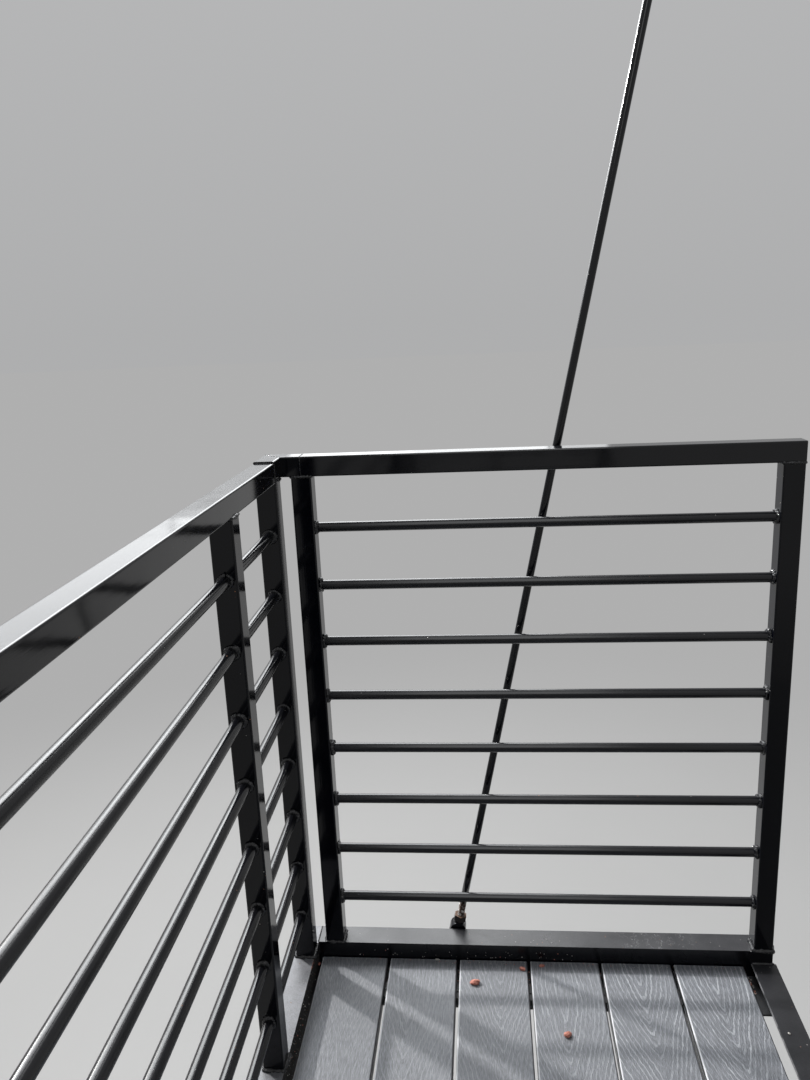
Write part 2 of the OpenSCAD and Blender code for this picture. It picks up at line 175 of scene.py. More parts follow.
floor_tone = 0.46
pale_tone = 0.43
floor_drop = 0.9
floor_half_size = 60.0
floor_fade_start = 1.6
floor_fade_end = 6.0
floor_group, floor_in, floor_out = new_group(
    "pale_floor", [("Tone", "NodeSocketFloat", floor_tone), ("Near", "NodeSocketFloat", floor_fade_start),
                   ("Far", "NodeSocketFloat", floor_fade_end)],
    [("Color", "NodeSocketColor"), ("Far Part", "NodeSocketFloat")])
floor_place = add_shader_node(floor_group, "ShaderNodeTexCoord").outputs["Object"]
floor_cloud = noise(floor_group, floor_place, 1.5, 3.0)
floor_shade = calc(floor_group, "MULTIPLY", floor_in["Tone"],
                   remap(floor_group, floor_cloud, 0.3, 0.7, 0.985, 1.015))
floor_group.links.new(floor_shade, floor_out["Color"])
floor_flat = add_shader_node(floor_group, "ShaderNodeVectorMath", {0: floor_place, 1: (1.0, 1.0, 0.0)},
                             operation="MULTIPLY").outputs[0]
floor_reach = add_shader_node(floor_group, "ShaderNodeVectorMath", {0: floor_flat},
                              operation="LENGTH").outputs["Value"]
floor_group.links.new(
    add_shader_node(floor_group, "ShaderNodeMapRange", {
        "Value": floor_reach, "From Min": floor_in["Near"], "From Max": floor_in["Far"]},
        interpolation_type="SMOOTHSTEP").outputs[0],
    floor_out["Far Part"])
floor_z = cad_box[0][2] - floor_drop
floor = add_mesh_object(
    "studio_floor",
    [(x * floor_half_size, y * floor_half_size, floor_z) for x, y in ((-1, -1), (1, -1), (1, 1), (-1, 1))],
    [(0, 1, 2, 3)], smooth=False)
floor_face = new_material("pale_floor", floor_group, {}, Roughness=0.9, Specular_IOR_Level=0.0)
floor_tree = floor_face.node_tree
floor_nodes = floor_tree.nodes
floor_glow = add_shader_node(floor_tree, "ShaderNodeEmission", {"Strength": pale_tone})
floor_mix = add_shader_node(floor_tree, "ShaderNodeMixShader", {
    0: calc(floor_tree, "MULTIPLY", floor_nodes["finish"].outputs["Far Part"], seen_rays(floor_tree)),
    1: floor_nodes["shader"].outputs[0], 2: floor_glow.outputs[0]})
floor_tree.links.new(floor_mix.outputs[0], floor_nodes["end"].inputs["Surface"])
floor.data.materials.append(floor_face)


# A small far lamp throws the shadows. Upright panels stand for the bright sky that the gloss reflects, and
# two soft lamps fill from overhead and from behind. The air looks pale to the camera and in the gloss, but
# lights the pieces only faintly.
sky_tint = (0.965, 0.985, 1.0)
sun_tint = (1.0, 0.975, 0.94)


def add_soft_lamp(name, aim, bearing, elevation, distance, width, height, radiance, spread=180.0,
                  tint=sky_tint):
    """Bearing, in degrees, turns from the far end's direction towards the open side. A lamp's grid narrows
    its spread, and the radiance is the lamp's along its own axis."""
    flat = distance * math.cos(math.radians(elevation))
    place = Vector(aim) + Vector((
        -flat * math.cos(math.radians(bearing)),
        -flat * math.sin(math.radians(bearing)),
        distance * math.sin(math.radians(elevation))))
    lamp = bpy.data.lights.new(name, "AREA")
    lamp.shape = "RECTANGLE"
    lamp.size = width
    lamp.size_y = height
    lamp.spread = math.radians(spread)
    lamp.color = tint
    lamp.energy = radiance * math.pi * width * height
    if spread < 180.0:
        half_spread = math.radians(spread / 2)
        lamp.energy *= 1 - half_spread / math.tan(half_spread)
    lamp_object = add_object(name, lamp)
    lamp_object.location = place
    lamp_object.rotation_euler = (Vector(aim) - place).to_track_quat("-Z", "Y").to_euler()
    lamp_object.visible_camera = False


def add_sky_panel(name, bearing, middle_height, width, height, radiance, distance=6.5):
    add_soft_lamp(name, (-0.9, -0.5, middle_height), bearing, 0, distance, width, height, radiance)


add_soft_lamp("key_lamp", (-1.1, -0.5, 0.0), bearing=54.9, elevation=30.6, distance=14.0, width=0.55,
              height=0.55, radiance=1800.0, spread=110.0, tint=sun_tint)
add_sky_panel("right_panel", bearing=0.3, middle_height=5.7, width=1.3, height=6.4, radiance=4.7)
add_sky_panel("rail_panel", bearing=5.8, middle_height=2.1, width=2.3, height=0.8, radiance=1.9)
add_sky_panel("rail_end_panel", bearing=-6.6, middle_height=2.1, width=0.5, height=0.8, radiance=1.0)
add_sky_panel("middle_panel", bearing=15.5, middle_height=5.7, width=2.2, height=6.4, radiance=4.2)
add_sky_panel("bright_panel", bearing=45, middle_height=5.6, width=4.7, height=3.8, radiance=8.6)
add_sky_panel("dim_panel", bearing=45, middle_height=3.0, width=4.7, height=1.1, radiance=2.6)
add_sky_panel("upper_panel", bearing=17, middle_height=6.0, width=3.0, height=4.4, radiance=3.4, distance=6.4)
add_sky_panel("low_panel", bearing=33, middle_height=1.9, width=6.6, height=1.2, radiance=0.6)
for lamp_name, bearing, elevation, radiance in (("overhead_lamp", 0, 80, 1.4), ("back_lamp", 180, 50, 1.7)):
    add_soft_lamp(lamp_name, (-1.2, -0.5, 0.5), bearing, elevation, distance=4.5, width=1.5, height=4.2,
                  radiance=radiance, spread=150.0)


def split_axes(tree, kind, output):
    source = add_shader_node(tree, kind).outputs[output]
    return add_shader_node(tree, "ShaderNodeSeparateXYZ", {0: source}).outputs


air_light = 0.06
zenith_tone = 1.3 * pale_tone
world = bpy.data.worlds.new("studio_air")
world.use_nodes = True
air = world.node_tree
air_direction = split_axes(air, "ShaderNodeTexCoord", "Generated")
air.nodes["Background"].inputs["Color"].default_value = (0.985, 0.99, 1.0, 1)
air_rays = seen_rays(air)
air_shade = remap(air, air_direction["Z"], 0.0, 1.0, pale_tone, zenith_tone)
air_seen = calc(air, "MULTIPLY", air_rays, air_shade)
air_unseen = calc(air, "MULTIPLY", calc(air, "SUBTRACT", 1.0, air_rays), air_light)
air.links.new(calc(air, "ADD", air_seen, air_unseen), air.nodes["Background"].inputs["Strength"])
bpy.context.scene.world = world


# The wall angle: a rolled steel angle between the end channels, bolted to the wall through its hanging leg,
# its other leg lying level beside the boards. Like all of the frame it is sprayed black. The gloss has dulled
# where dust lies, and a thin pale line along the toe is a painted highlight of its rounded edge.
coat_group, coat_in, coat_out = new_group(
    "gloss_coat",
    [("Paint", "NodeSocketColor", (0.0014, 0.0019, 0.0045, 1)),
     ("Dust Color", "NodeSocketColor", (0.20, 0.20, 0.21, 1)), ("Dust", "NodeSocketFloat", 0.3),
     ("Gloss Loss", "NodeSocketFloat", 0.08), ("Ripple", "NodeSocketFloat", 0.2),
     ("Pits", "NodeSocketFloat", 0.1), ("Grit", "NodeSocketFloat", 0.3), ("Seed", "NodeSocketFloat", 0.0),
     ("Scuff Place", "NodeSocketVector", (0.0, 0.0, -9.0)), ("Scuff Reach", "NodeSocketFloat", 0.01),
     ("Inner Grime", "NodeSocketFloat", 0.0), ("Draw Lines", "NodeSocketFloat", 0.0),
     ("Draw Scale", "NodeSocketVector", (1.0, 1.0, 1.0)), ("Rub Line", "NodeSocketFloat", 9.0)])


def seeded_place(tree, seed):
    corner = add_shader_node(tree, "ShaderNodeTexCoord").outputs["Object"]
    shift = add_shader_node(tree, "ShaderNodeCombineXYZ", {"X": seed, "Y": seed, "Z": seed})
    return add_shader_node(tree, "ShaderNodeVectorMath", {0: corner, 1: shift.outputs[0]},
                           operation="ADD").outputs[0]


def mixed_colour(tree, factor, first, second):
    mixer = add_shader_node(tree, "ShaderNodeMix", {0: factor, 6: first, 7: second}, data_type="RGBA")
    return mixer.outputs[2]


def finish_group(group, group_out, colour, roughness, height, strength, distance):
    """Links what a surface gives: its colour, its roughness, and its relief as a bump."""
    bump = add_shader_node(group, "ShaderNodeBump", {
        "Strength": strength, "Distance": distance, "Height": height})
    for output, value in (("Color", colour), ("Roughness", roughness), ("Normal", bump.outputs["Normal"])):
        group.links.new(value, group_out[output])


coat_place = seeded_place(coat_group, coat_in["Seed"])
coat_facing = split_axes(coat_group, "ShaderNodeNewGeometry", "Normal")
dust_lie = remap(coat_group, coat_facing["Z"], 0.75, 0.98)
grime_side = remap(coat_group, coat_facing["Y"], 0.6, 0.9)
grime_mask = calc(coat_group, "MULTIPLY", grime_side, coat_in["Inner Grime"])
dust_cloud = calc(coat_group, "MULTIPLY",
                  remap(coat_group, noise(coat_group, coat_place, 16.0, 6.0, 0.6), 0.20, 0.80, 0.35, 1.0),
                  remap(coat_group, noise(coat_group, coat_place, 900.0, 2.0, 0.6), 0.30, 0.62, 0.55, 1.0))
# Dust lies on upward faces. On the outer channel its pale bluish colour also stands as a painted sky reflection.
dust_and_sheen_mask = calc(coat_group, "MULTIPLY", calc(coat_group, "MULTIPLY", dust_lie, dust_cloud), coat_in["Dust"])

grit_cells = add_shader_node(coat_group, "ShaderNodeTexVoronoi", {"Vector": coat_place, "Scale": 190.0})
grit_draw = add_shader_node(coat_group, "ShaderNodeSeparateColor", {0: grit_cells.outputs["Color"]})
grit_dot = calc(coat_group, "LESS_THAN", grit_cells.outputs["Distance"],
                remap(coat_group, grit_draw.outputs["Blue"], 0.0, 1.0, 0.08, 0.24))
grit_rate = calc(coat_group, "MULTIPLY", calc(coat_group, "ADD", coat_in["Grit"], grime_mask),
                 remap(coat_group, noise(coat_group, coat_place, 9.0, 2.0), 0.35, 0.65, 0.2, 1.0))
grit_lands = calc(coat_group, "LESS_THAN", grit_draw.outputs["Red"], grit_rate)
grit_mask = calc(coat_group, "MULTIPLY", grit_dot, grit_lands)
grit_colour = mixed_colour(coat_group, remap(coat_group, grit_draw.outputs["Green"], 0.55, 0.75),
                           (0.30, 0.29, 0.28, 1), (0.26, 0.12, 0.06, 1))

scuff_reach = add_shader_node(coat_group, "ShaderNodeVectorMath", {
    0: add_shader_node(coat_group, "ShaderNodeTexCoord").outputs["Object"], 1: coat_in["Scuff Place"]},
    operation="DISTANCE").outputs["Value"]
scuff_patch = remap(coat_group, calc(coat_group, "DIVIDE", scuff_reach, coat_in["Scuff Reach"]), 1.0, 0.7)
scuff_squiggle = calc(coat_group, "ABSOLUTE", calc(
    coat_group, "SUBTRACT", noise(coat_group, coat_place, 120.0, 1.5), 0.5))
scuff_mask = calc(coat_group, "MULTIPLY", calc(coat_group, "MULTIPLY", scuff_patch, dust_lie), calc(
    coat_group, "MULTIPLY", remap(coat_group, scuff_squiggle, 0.016, 0.006),
    remap(coat_group, noise(coat_group, coat_place, 60.0, 2.0), 0.45, 0.55)))

coat_tone = noise(coat_group, coat_place, 6.0, 4.0, 0.6)
coat_corner = split_axes(coat_group, "ShaderNodeTexCoord", "Object")
# A thin pale line along a given y is a painted highlight; on the wall angle it runs along the toe. Scuffs are
# real marks.
toe_highlight_reach = calc(coat_group, "ABSOLUTE", calc(coat_group, "SUBTRACT", coat_corner["Y"], coat_in["Rub Line"]))
toe_highlight_mask = calc(coat_group, "MULTIPLY", remap(coat_group, toe_highlight_reach, 0.0017, 0.0009),
                remap(coat_group, noise(coat_group, coat_place, 45.0, 3.0), 0.35, 0.5, 0.25, 1.0))
scuff_and_highlight_mask = calc(coat_group, "MAXIMUM", scuff_mask, toe_highlight_mask)
coat_marked = mixed_colour(coat_group, calc(coat_group, "MAXIMUM", dust_and_sheen_mask, scuff_and_highlight_mask),
                           coat_in["Paint"], coat_in["Dust Color"])
coat_grimed = mixed_colour(coat_group, grime_mask, coat_marked, (0.0040, 0.0035, 0.0030, 1))
coat_colour = mixed_colour(coat_group, grit_mask, coat_grimed, grit_colour)
coat_dull = calc(coat_group, "MULTIPLY", coat_in["Gloss Loss"],
                 remap(coat_group, coat_tone, 0.3, 0.7, 0.75, 1.35))
coat_rough = calc(coat_group, "ADD", calc(coat_group, "ADD", coat_dull, grime_mask), calc(
    coat_group, "MULTIPLY", calc(coat_group, "MAXIMUM", dust_and_sheen_mask, grit_mask), 0.5), clamp=True)
coat_height = calc(coat_group, "ADD",
                   calc(coat_group, "MULTIPLY", noise(coat_group, coat_place, 13.0, 1.0), coat_in["Ripple"]),
                   calc(coat_group, "MULTIPLY", noise(coat_group, coat_place, 330.0, 2.0), coat_in["Pits"]))
draw_place = add_shader_node(coat_group, "ShaderNodeVectorMath", {0: coat_place, 1: coat_in["Draw Scale"]},
                             operation="MULTIPLY").outputs[0]
draw_noise = noise(coat_group, draw_place, 1.0, 3.0, 0.6)
draw_relief = calc(coat_group, "MULTIPLY", draw_noise, coat_in["Draw Lines"])
coat_relief = calc(coat_group, "ADD", calc(coat_group, "ADD", coat_height, draw_relief),
                   calc(coat_group, "MULTIPLY", grit_mask, 0.25))
finish_group(coat_group, coat_out, coat_colour, coat_rough, coat_relief, strength=0.6, distance=0.002)

angle_low, angle_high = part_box("wall_angle")
# The painted highlight line sits just inside the toe.
highlight_from_toe = 0.0006
wall_angle_coat = new_material("wall_angle_coat", coat_group, {
    "Dust": 0.19, "Gloss Loss": 0.30, "Ripple": 0.3, "Pits": 0.10, "Grit": 0.10, "Seed": 1.7,
    "Rub Line": angle_low[1] + highlight_from_toe}, IOR=1.45)


def dress(name_parts, material):
    """The material goes on each CAD piece whose name holds one of the parts."""
    for name in cad:
        if any(part in name for part in name_parts):
            slots = cad[name].data.materials
            slots.clear()
            slots.append(material)


dress(["wall_angle"], wall_angle_coat)


# The frame: rolled steel channels along the open side and both ends, webs towards the deck and toes outwards,
# square tube joists across, and angle ledges under the boards' ends. The pieces are mild steel, butted and
# fillet welded by hand before they were sprayed.
end_channel_coat = new_material("end_channel_coat", coat_group, {
    "Dust": 0.29, "Gloss Loss": 0.24, "Ripple": 0.3, "Pits": 0.12, "Grit": 0.16, "Seed": 2.9,
    "Scuff Place": (-1.252, -0.235, 0.035), "Scuff Reach": 0.09}, IOR=1.45)
# The outer channel's top: real dust, made pale and bluish as a painted reflection of the sky.
outer_channel_coat = new_material("outer_channel_coat", coat_group, {
    "Dust": 0.75, "Dust Color": (0.55, 0.56, 0.60, 1), "Gloss Loss": 0.22, "Ripple": 0.3, "Pits": 0.12,
    "Grit": 0.42, "Seed": 5.3, "Inner Grime": 0.9}, IOR=1.45)
under_deck_coat = new_material("under_deck_coat", coat_group, {
    "Dust": 0.7, "Gloss Loss": 0.30, "Ripple": 0.2, "Pits": 0.2, "Grit": 0.5, "Seed": 4.1}, IOR=1.5)
dress(["end_channel"], end_channel_coat)
dress(["outer_channel"], outer_channel_coat)
dress(["joist", "deck_ledge"], under_deck_coat)

random.seed(41)
weld_step = 0.003
steps_per_swell = 3
ripple_share = 0.10
ripple_turn = 2.1
end_taper = 0.4
ring_arcs = 4
arc_steps = 10
arc_step_degrees = 12
arc_shift = (-0.0004, 0.0026)
arc_fullness = (0.85, 1.25)
ring_drops = 2
drop_reach = (0.005, 0.007)
drop_size = (0.0006, 0.0011)


def fit_piece(piece, material):
    piece.data.materials.append(material)
    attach(piece, "root")
    return piece


class WeldMesh:
    """Gathers into one mesh what is swept along paths: weld beads, with a hand weld's lumps, and wires."""

    def __init__(self):
        self.verts = []
        self.faces = []

    def sweep(self, path, radii, closed, sides=8):
        count = len(path)
        first = len(self.verts)
        side = None
        for i in range(count):
            if closed:
                ahead = path[(i + 1) % count] - path[i - 1]
            else:
                ahead = path[min(i + 1, count - 1)] - path[max(i - 1, 0)]
            ahead.normalize()
            if side is None:
                side = ahead.orthogonal().normalized()
            side = (side - ahead * side.dot(ahead)).normalized()
            lift = ahead.cross(side)
            for k in range(sides):
                angle = 2 * math.pi * k / sides
                self.verts.append(path[i] + (side * math.cos(angle) + lift * math.sin(angle)) * radii[i])
        for i in range(count if closed else count - 1):
            for k in range(sides):
                following = (k + 1) % sides
                here = first + i * sides
                ahead_row = first + ((i + 1) % count) * sides
                self.faces.append((here + k, here + following, ahead_row + following, ahead_row + k))
        if not closed:
            self.faces.append(tuple(first + k for k in range(sides))[::-1])
            last = first + (count - 1) * sides
            self.faces.append(tuple(last + k for k in range(sides)))

    def bead(self, path, size, closed, lumps=0.42):
        swells = [random.uniform(-lumps, lumps) for _ in range(len(path) // steps_per_swell + 2)]
        radii = []
        for i in range(len(path)):
            spot = i / steps_per_swell
            low = int(spot)
            blend = (1 - math.cos(math.pi * (spot - low))) / 2
            meets_start = closed and i >= len(path) - steps_per_swell
            ahead_swell = swells[0 if meets_start else low + 1]
            swell = swells[low] * (1 - blend) + ahead_swell * blend
            radii.append(size * (1 + swell + ripple_share * math.sin(i * ripple_turn)))
        if not closed:
            radii[0] *= end_taper
            radii[-1] *= end_taper
        self.sweep(path, radii, closed)

    def ring(self, middle, axis, radius, size):
        """Short overlapping beads laid round a bar, with drops of spatter beside them."""
        side = axis.orthogonal().normalized()
        lift = axis.cross(side)
        start = random.uniform(0, 360)
        for _ in range(ring_arcs):
            reach = axis * random.uniform(*arc_shift)
            path = []
            for i in range(arc_steps + 1):
                angle = math.radians(start + arc_step_degrees * i)
                path.append(middle + reach + (side * math.cos(angle) + lift * math.sin(angle)) * radius)
            self.bead(path, size * random.uniform(*arc_fullness), closed=False, lumps=0.45)
            start += 360 / ring_arcs
        for _ in range(ring_drops):
            angle = random.uniform(0, 2 * math.pi)
            reach = radius + random.uniform(*drop_reach)
            place = middle + (side * math.cos(angle) + lift * math.sin(angle)) * reach
            self.drop(place, random.uniform(*drop_size))

    def drop(self, place, radius):
        first = len(self.verts)
        for spot in ((1, 0, 0), (0, 1, 0), (-1, 0, 0), (0, -1, 0), (0, 0, 1), (0, 0, -1)):
            self.verts.append(place + Vector(spot) * radius)
        for k in range(4):
            self.faces.append((first + k, first + (k + 1) % 4, first + 4))
            self.faces.append((first + (k + 1) % 4, first + k, first + 5))

    def line(self, start, end, size, lumps=0.3):
        start = Vector(start)
        run = Vector(end) - start
        steps = max(5, int(run.length / weld_step))
        self.bead([start + run * (i / steps) for i in range(steps + 1)], size, closed=False, lumps=lumps)

    def build(self, name, material):
        fit_piece(add_mesh_object(name, self.verts, self.faces), material)


weld_coat = new_material("weld_coat", coat_group, {
    "Dust": 0.06, "Gloss Loss": 0.10, "Ripple": 0.3, "Pits": 1.7, "Grit": 0.1, "Seed": 21.0}, IOR=1.5)

ends = (("far", -1), ("near", 1))


def x_faces(name):
    """The x of a piece's inner face, the one towards the landing's middle, and of its outer face."""
    low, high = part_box(name)
    return sorted((low[0], high[0]), key=abs)


frame_fillet = 0.0033
top_seam = 0.0016
frame_welds = WeldMesh()
for joist in [name for name in cad if name.startswith("joist")]:
    low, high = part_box(joist)
    for y in (low[1], high[1]):
        for x in (low[0], high[0]):
            frame_welds.line((x, y, low[2]), (x, y, high[2]), frame_fillet)
        frame_welds.line((low[0], y, low[2]), (high[0], y, low[2]), frame_fillet)

ledge_stitches = 5
stitch_length = 0.05
for end, side in ends:
    low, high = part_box(f"{end}_end_channel")
    web_x, toe_x = x_faces(f"{end}_end_channel")
    frame_welds.line((web_x, low[1], low[2]), (web_x, low[1], high[2] - frame_fillet), frame_fillet)
    frame_welds.line((web_x, low[1], high[2]), (toe_x, low[1], high[2]), top_seam)
    frame_welds.line((web_x, angle_low[1], angle_high[2]),
                     (web_x, angle_high[1] - frame_fillet, angle_high[2]), frame_fillet)
    ledge_low, ledge_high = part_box(f"{end}_deck_ledge")
    for k in range(ledge_stitches):
        y = ledge_low[1] + (k + 0.5) * (ledge_high[1] - ledge_low[1]) / ledge_stitches
        frame_welds.line((web_x, y - stitch_length / 2, ledge_low[2]),
                         (web_x, y + stitch_length / 2, ledge_low[2]), frame_fillet)
frame_welds.build("frame_welds", weld_coat)


# The deck clips: small clips of dark grey nylon screwed to the ledges and joists in the gaps between the
# boards. Their wings lie in the boards' grooves and hold them down.
clip_group, clip_in, clip_out = new_group(
    "clip_nylon", [("Tone", "NodeSocketColor", (0.035, 0.036, 0.038, 1))])
clip_place = seeded_place(clip_group, 0.4)
clip_cloud = noise(clip_group, clip_place, 90.0, 4.0, 0.6)
clip_dust = remap(clip_group, clip_cloud, 0.45, 0.75, 0.0, 0.6)
clip_colour = mixed_colour(clip_group, clip_dust, clip_in["Tone"], (0.12, 0.115, 0.105, 1))
clip_rough = remap(clip_group, clip_cloud, 0.3, 0.7, 0.42, 0.62)
clip_grain = noise(clip_group, clip_place, 700.0, 2.0)
finish_group(clip_group, clip_out, clip_colour, clip_rough, clip_grain, strength=0.3, distance=0.0005)
dress(["deck_clips"], new_material("clip_nylon", clip_group, {}))


# The deck: six grey wood-plastic boards, extruded with clip grooves and brushed. Their embossed grain is
# nested arches, tips towards the near end, paler than the face. Each rounded edge on the open side carries a
# painted highlight, each on the wall's side painted shade, and the upright sides are painted dark as shade.
board_group, board_in, board_out = new_group(
    "embossed_board",
    [("Middle", "NodeSocketFloat", 0.0), ("Seed", "NodeSocketFloat", 0.0), ("Arches", "NodeSocketFloat", 1.0),
     ("Arch Side", "NodeSocketFloat", 0.0), ("Arch Start", "NodeSocketFloat", 1.0),
     ("Face", "NodeSocketColor", (0.185, 0.195, 0.22, 1)),
     ("Line", "NodeSocketColor", (0.50, 0.52, 0.56, 1))])

grain_pitch = 0.0085
arch_run = 0.9
arches_in_run = 5.4
arch_tip = 0.005
arch_drift = 0.008
drift_run = 1.5
board_half_width = (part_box("deck_board_1")[1][1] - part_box("deck_board_1")[0][1]) / 2
board_edge = 0.0032
board_corner = split_axes(board_group, "ShaderNodeTexCoord", "Object")
board_along = board_corner["X"]
board_across = calc(board_group, "SUBTRACT", board_corner["Y"], board_in["Middle"])


def board_noise(along_scale, across_scale, detail, rough=0.5):
    place = add_shader_node(board_group, "ShaderNodeCombineXYZ", {
        "X": calc(board_group, "MULTIPLY", board_along, along_scale),
        "Y": calc(board_group, "MULTIPLY", board_across, across_scale),
        "Z": calc(board_group, "MULTIPLY", board_in["Seed"], 7.3)})
    return noise(board_group, place.outputs[0], 1.0, detail, rough)


def board_swing(run):
    turns = calc(board_group, "DIVIDE", calc(board_group, "ADD", board_along, board_in["Arch Start"]), run)
    return calc(board_group, "SINE", calc(board_group, "MULTIPLY", turns, 2 * math.pi))


grain_swing = calc(board_group, "SUBTRACT", board_noise(5.0, 9.0, 2.0), 0.5)
grain_sway = calc(board_group, "MULTIPLY", grain_swing, 0.022)
arch_middle = calc(board_group, "ADD", board_in["Arch Side"],
                   calc(board_group, "MULTIPLY", board_swing(drift_run), arch_drift))
ring_side = calc(board_group, "ADD", calc(board_group, "SUBTRACT", board_across, arch_middle), grain_sway)
ring_size = calc(board_group, "SQRT", calc(board_group, "ADD", calc(board_group, "POWER", ring_side, 2.0),
                                           arch_tip ** 2))
ring_count = calc(board_group, "ADD", calc(board_group, "DIVIDE", ring_size, grain_pitch),
                  calc(board_group, "MULTIPLY", board_swing(arch_run), arches_in_run))
ring_rough = calc(board_group, "ADD", ring_count,
                  calc(board_group, "MULTIPLY", board_noise(44.0, 110.0, 3.0, 0.65), 0.85))
ring_wave = calc(board_group, "PINGPONG", ring_rough, 0.5)
ring_number = calc(board_group, "ADD", calc(board_group, "FLOOR", ring_rough),
                   calc(board_group, "MULTIPLY", board_in["Seed"], 31.7))
ring_draw = add_shader_node(board_group, "ShaderNodeTexWhiteNoise", {"W": ring_number},
                            noise_dimensions="1D").outputs["Value"]
ring_strength = remap(board_group, ring_draw, 0.0, 1.0, 0.30, 1.7)
fine_wave = calc(board_group, "PINGPONG", calc(board_group, "MULTIPLY", ring_rough, 2.7), 0.5)
main_line = calc(board_group, "MULTIPLY", remap(board_group, ring_wave, 0.32, 0.42), ring_strength,
                 clamp=True)
ring_line = calc(board_group, "MAXIMUM", main_line, remap(board_group, fine_wave, 0.34, 0.48, 0.0, 0.40))
line_breaks = remap(board_group, board_noise(45.0, 420.0, 3.0, 0.65), 0.36, 0.56, 0.25, 1.0)
line_patches = remap(board_group, board_noise(6.0, 24.0, 3.0), 0.36, 0.58, 0.55, 1.0)
ring_mask = calc(board_group, "MULTIPLY", calc(board_group, "MULTIPLY", ring_line, board_in["Arches"]),
                 calc(board_group, "MULTIPLY", line_breaks, line_patches))

brush_marks = board_noise(75.0, 620.0, 3.0, 0.6)
brush_lines = remap(board_group, board_noise(48.0, 900.0, 2.0, 0.5), 0.54, 0.66)
board_tone = board_noise(2.2, 9.0, 3.0)
face_value = calc(board_group, "ADD", remap(board_group, brush_marks, 0.28, 0.72, 0.72, 1.34),
                  remap(board_group, board_tone, 0.3, 0.7, -0.07, 0.07))
face_colour = add_shader_node(board_group, "ShaderNodeHueSaturation", {
    "Color": board_in["Face"], "Value": calc(board_group, "ADD", face_value,
                                             calc(board_group, "MULTIPLY", brush_lines, 0.42))})
grained = mixed_colour(board_group, calc(board_group, "MULTIPLY", ring_mask, 0.95), face_colour.outputs[0],
                       board_in["Line"])
edge_start = board_half_width - board_edge
edge_full = board_half_width - board_edge / 2
# Painted light: the rounded edge on the open side is painted pale as a highlight, the one on the wall's side
# painted dark as shade.
painted_highlight_edge = remap(board_group, board_across, -edge_start, -edge_full)
painted_shade_edge = remap(board_group, board_across, edge_start, edge_full)
rounded_edge = calc(board_group, "ADD", painted_highlight_edge, painted_shade_edge)
board_facing = split_axes(board_group, "ShaderNodeNewGeometry", "Normal")
# Painted shade: the boards' upright sides, down in the gaps, are painted near black.
side_shade_mask = remap(board_group, calc(board_group, "ABSOLUTE", board_facing["Z"]), 0.30, 0.10)
edge_highlight_colour = mixed_colour(board_group, painted_highlight_edge, grained, (0.66, 0.67, 0.70, 1))
edge_shade_colour = mixed_colour(board_group, painted_shade_edge, edge_highlight_colour, (0.070, 0.070, 0.078, 1))
board_colour = mixed_colour(board_group, side_shade_mask, edge_shade_colour, (0.022, 0.022, 0.024, 1))
board_rough = calc(board_group, "SUBTRACT", remap(board_group, brush_marks, 0.2, 0.8, 0.60, 0.44),
                   calc(board_group, "MULTIPLY", rounded_edge, 0.16))
board_height = calc(board_group, "ADD", calc(board_group, "MULTIPLY", ring_mask, 0.8),
                    calc(board_group, "ADD", calc(board_group, "MULTIPLY", brush_marks, 0.9),
                         calc(board_group, "MULTIPLY", brush_lines, 0.3)))
finish_group(board_group, board_out, board_colour, board_rough, board_height, strength=0.6, distance=0.0008)

board_looks = {1: (0.28, 0.010, 1.10), 2: (0.34, -0.020, 0.95), 3: (0.42, 0.015, 1.05),
               4: (0.62, -0.008, 0.92), 5: (0.85, 0.002, 1.02), 6: (1.0, 0.004, 1.0)}
plain_face = Vector((0.222, 0.231, 0.250))
arched_face = Vector((0.174, 0.183, 0.203))
for number, (arches, arch_side, arch_start) in board_looks.items():
    name = f"deck_board_{number}"
    low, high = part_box(name)
    face = plain_face.lerp(arched_face, arches)
    dress([name], new_material(f"{name}_face", board_group, {
        "Middle": (low[1] + high[1]) / 2, "Seed": 1.0 + 0.618 * number, "Arches": arches,
        "Arch Side": arch_side, "Arch Start": arch_start, "Face": (*face, 1)}))


# The guard panels: posts and top rails of square steel tube, with round bars let in between the posts. Every
# joint is welded by hand, the beads left lumpy under the same black gloss, which is smooth and wet on the
# tube and shows the faint lines that the tube was drawn with.
across_line = 110.0
along_line = 1.6
tube_looks = {
    "post": ((across_line, across_line, along_line), 1.36),
    "side_top_rail": ((along_line, across_line, across_line), 1.45),
    "end_top_rail": ((across_line, along_line, across_line), 1.45)}
tube_coats = {}
for tube_kind, (draw_scale, gloss_ior) in tube_looks.items():
    tube_coats[tube_kind] = new_material(f"{tube_kind}_coat", coat_group, {
        "Dust": 0.07, "Gloss Loss": 0.085, "Ripple": 0.30, "Pits": 0.004, "Grit": 0.03, "Seed": 9.3,
        "Draw Lines": 0.04, "Draw Scale": draw_scale}, IOR=gloss_ior)
bar_coat = new_material("bar_coat", coat_group, {
    "Dust": 0.05, "Gloss Loss": 0.17, "Ripple": 0.12, "Pits": 0.004, "Grit": 0.03, "Seed": 12.9}, IOR=1.5)
dress(["post", "return"], tube_coats["post"])
dress(["side_top_rail"], tube_coats["side_top_rail"])
dress(["far_top_rail", "near_top_rail"], tube_coats["end_top_rail"])
dress(["bars"], bar_coat)

bar_count = 8
bar_fillet = 0.0039
bar_root_gap = 0.0004
foot_fillet = 0.0046
top_fillet = 0.0030
tube_round = 0.003


